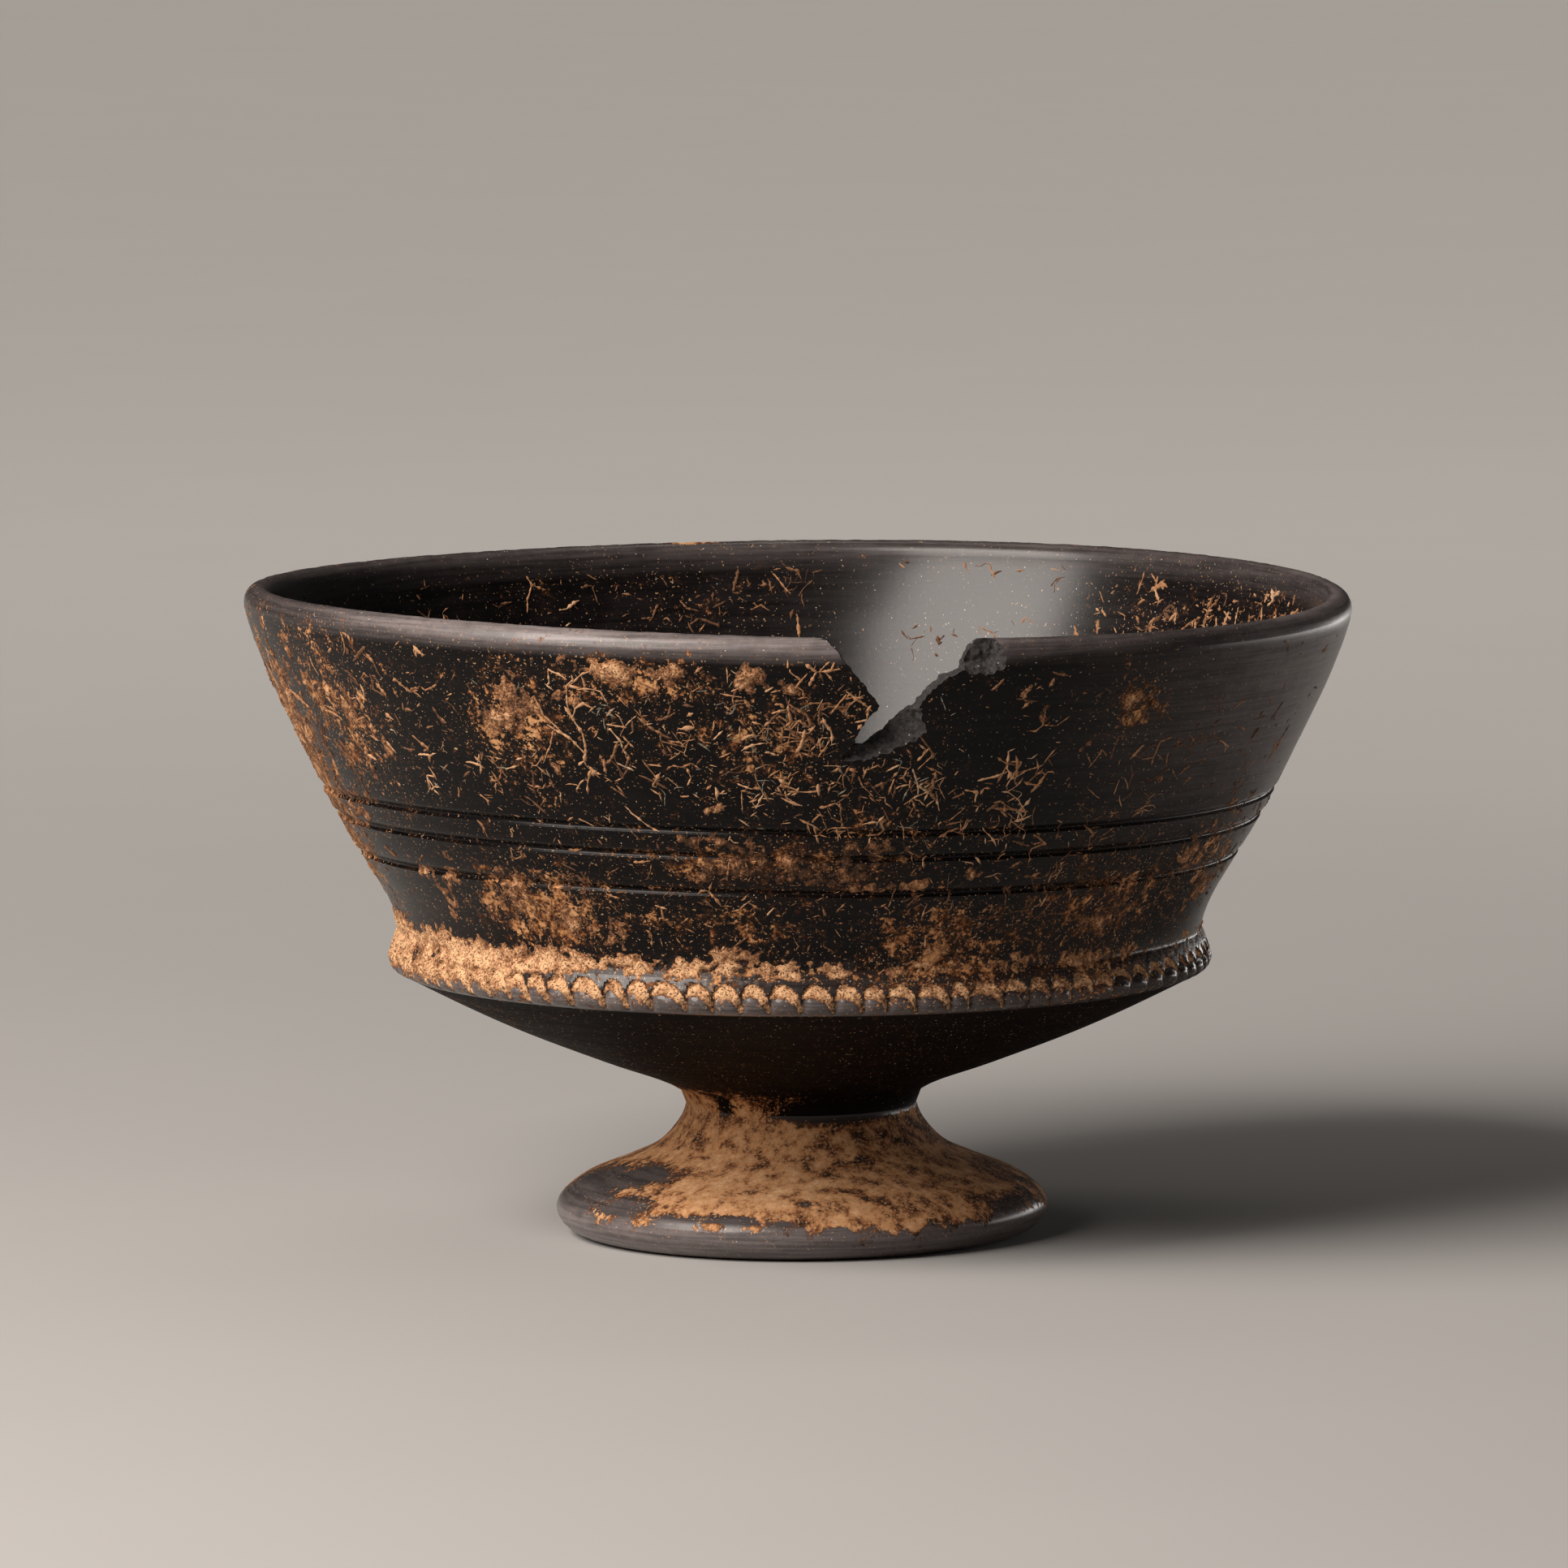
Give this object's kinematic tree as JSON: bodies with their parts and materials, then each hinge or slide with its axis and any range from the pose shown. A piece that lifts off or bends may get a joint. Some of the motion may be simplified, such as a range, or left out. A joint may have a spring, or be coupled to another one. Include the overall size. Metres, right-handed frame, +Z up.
{
  "type": "bucchero bowl",
  "caption": "Black burnished clay bowl with a flaring grooved wall, a notched ridge, a low hollow trumpet foot and a broken rim.",
  "frame": {"origin": "centre of the foot's resting ring, on the surface that the bowl stands on", "axes": "+Z up along the wheel axis; -Y is the front, with the break in the rim turned 10 degrees from it towards +X"},
  "size_m": [0.14, 0.14, 0.0832],
  "materials": {
    "bucchero": "black burnished clay with a soft sheen, stained and partly covered with ochre soil"
  },
  "bodies": {
    "root": {"bowl": "bucchero"}
  },
  "joints": []
}
